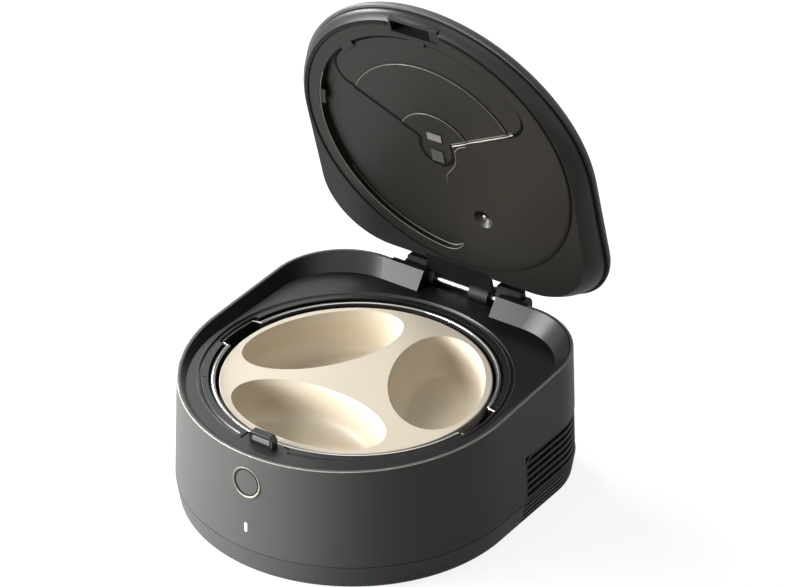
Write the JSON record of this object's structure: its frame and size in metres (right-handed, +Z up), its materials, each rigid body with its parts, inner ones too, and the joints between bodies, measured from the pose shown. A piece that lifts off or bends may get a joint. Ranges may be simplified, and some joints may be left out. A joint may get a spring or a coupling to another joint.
{
  "type": "automatic wet food feeder",
  "caption": "Round-fronted automatic pet feeder with a hinged lid, rotating cream tray with oval bowls in a cooled metal well, sector shutter, latch, button and side vents.",
  "frame": {"origin": "on the floor under the axis of the rotating tray, at the middle of the centre foot", "axes": "+X to the user's right, +Y from the front to the hinge, +Z up"},
  "size_m": [0.2782, 0.3151, 0.3785],
  "materials": {
    "body": "fine satin",
    "deck": "satin",
    "cream": "satin",
    "steel": "brushed",
    "foam": "matte",
    "dark": "matte",
    "rubber": "matte",
    "light_grey": "satin",
    "light": "frosted",
    "aluminium": "milled",
    "board": "satin",
    "ceramic": "matte",
    "white_plastic": "matte"
  },
  "bodies": {
    "base": {"feet": "rubber", "bottom_pan": "body", "body_shell": "body", "vent_grille_right": "dark", "vent_grille_left": "dark", "deck": "deck", "hinge_cover": "deck", "hinge_rod": "steel", "cooling_pot": "steel", "shaft_bush": "white_plastic", "gear_motor": "steel", "insulation": "foam", "chassis": "dark", "case_screws": "steel", "cold_block": "aluminium", "cooling_element": "ceramic", "heat_sink": "aluminium", "fan_frame": "dark", "main_board": "board", "power_inlet": "dark", "button_ring": "light_grey", "indicator_light": "light", "front_board": "board", "latch_housing": "deck"},
    "lid": {"lid_panel": "deck", "lid_gasket": "rubber", "latch_catch": "deck", "lid_shell": "body", "lid_arm": "deck", "shutter_clips": "deck", "shutter_motor": "steel", "sensor_probe": "steel"},
    "shutter": {"shutter": "deck", "shutter_gear": "white_plastic"},
    "shutter_drive": {"shutter_pinion": "white_plastic"},
    "turntable": {"drive_hub": "white_plastic", "turntable_shaft": "steel", "table_gear": "white_plastic"},
    "table_drive": {"motor_pinion": "white_plastic"},
    "tray": {"food_tray": "cream"},
    "button": {"button_cap": "body"},
    "latch": {"latch_bolt": "light_grey"},
    "fan": {"fan_rotor": "dark"}
  },
  "joints": [
    {"name": "lid_hinge", "type": "hinge", "parent": "base", "child": "lid", "pos_m": [0, 0.1512, 0.1068], "axis": [1, 0, 0], "range_deg": [0, 74]},
    {"name": "shutter_turn", "type": "hinge", "parent": "lid", "child": "shutter", "pos_m": [0, 0.10698, 0.25141], "axis": [0, 0.9613, 0.2756], "range_deg": [-124, 0]},
    {"name": "shutter_drive_spin", "type": "hinge", "parent": "lid", "child": "shutter_drive", "pos_m": [0.0105, 0.11199, 0.23393], "axis": [0, 0.9613, 0.2756], "range_deg": [-2, 312]},
    {"name": "turntable_spin", "type": "hinge", "parent": "base", "child": "turntable", "pos_m": [0, 0, 0.06], "axis": [0, 0, 1], "continuous": true},
    {"name": "table_drive_spin", "type": "hinge", "parent": "base", "child": "table_drive", "pos_m": [-0.03, 0, 0.04], "axis": [0, 0, 1], "continuous": true},
    {"name": "tray_lift", "type": "slide", "parent": "turntable", "child": "tray", "axis": [0, 0, 1], "range_m": [0, 0.08]},
    {"name": "button_press", "type": "slide", "parent": "base", "child": "button", "axis": [0, 1, 0], "range_m": [0, 0.0008], "stiffness_N_per_m": 400, "springref_m": -0.0005},
    {"name": "latch_slide", "type": "slide", "parent": "base", "child": "latch", "axis": [0, -1, 0], "range_m": [0, 0.0012]},
    {"name": "fan_spin", "type": "hinge", "parent": "base", "child": "fan", "pos_m": [0.058, 0.056, 0.012], "axis": [0, 0, 1], "continuous": true}
  ],
  "couplings": [
    {"joint": "table_drive_spin", "follows": "turntable_spin", "ratio": -3},
    {"joint": "shutter_drive_spin", "follows": "shutter_turn", "ratio": -2.5}
  ]
}
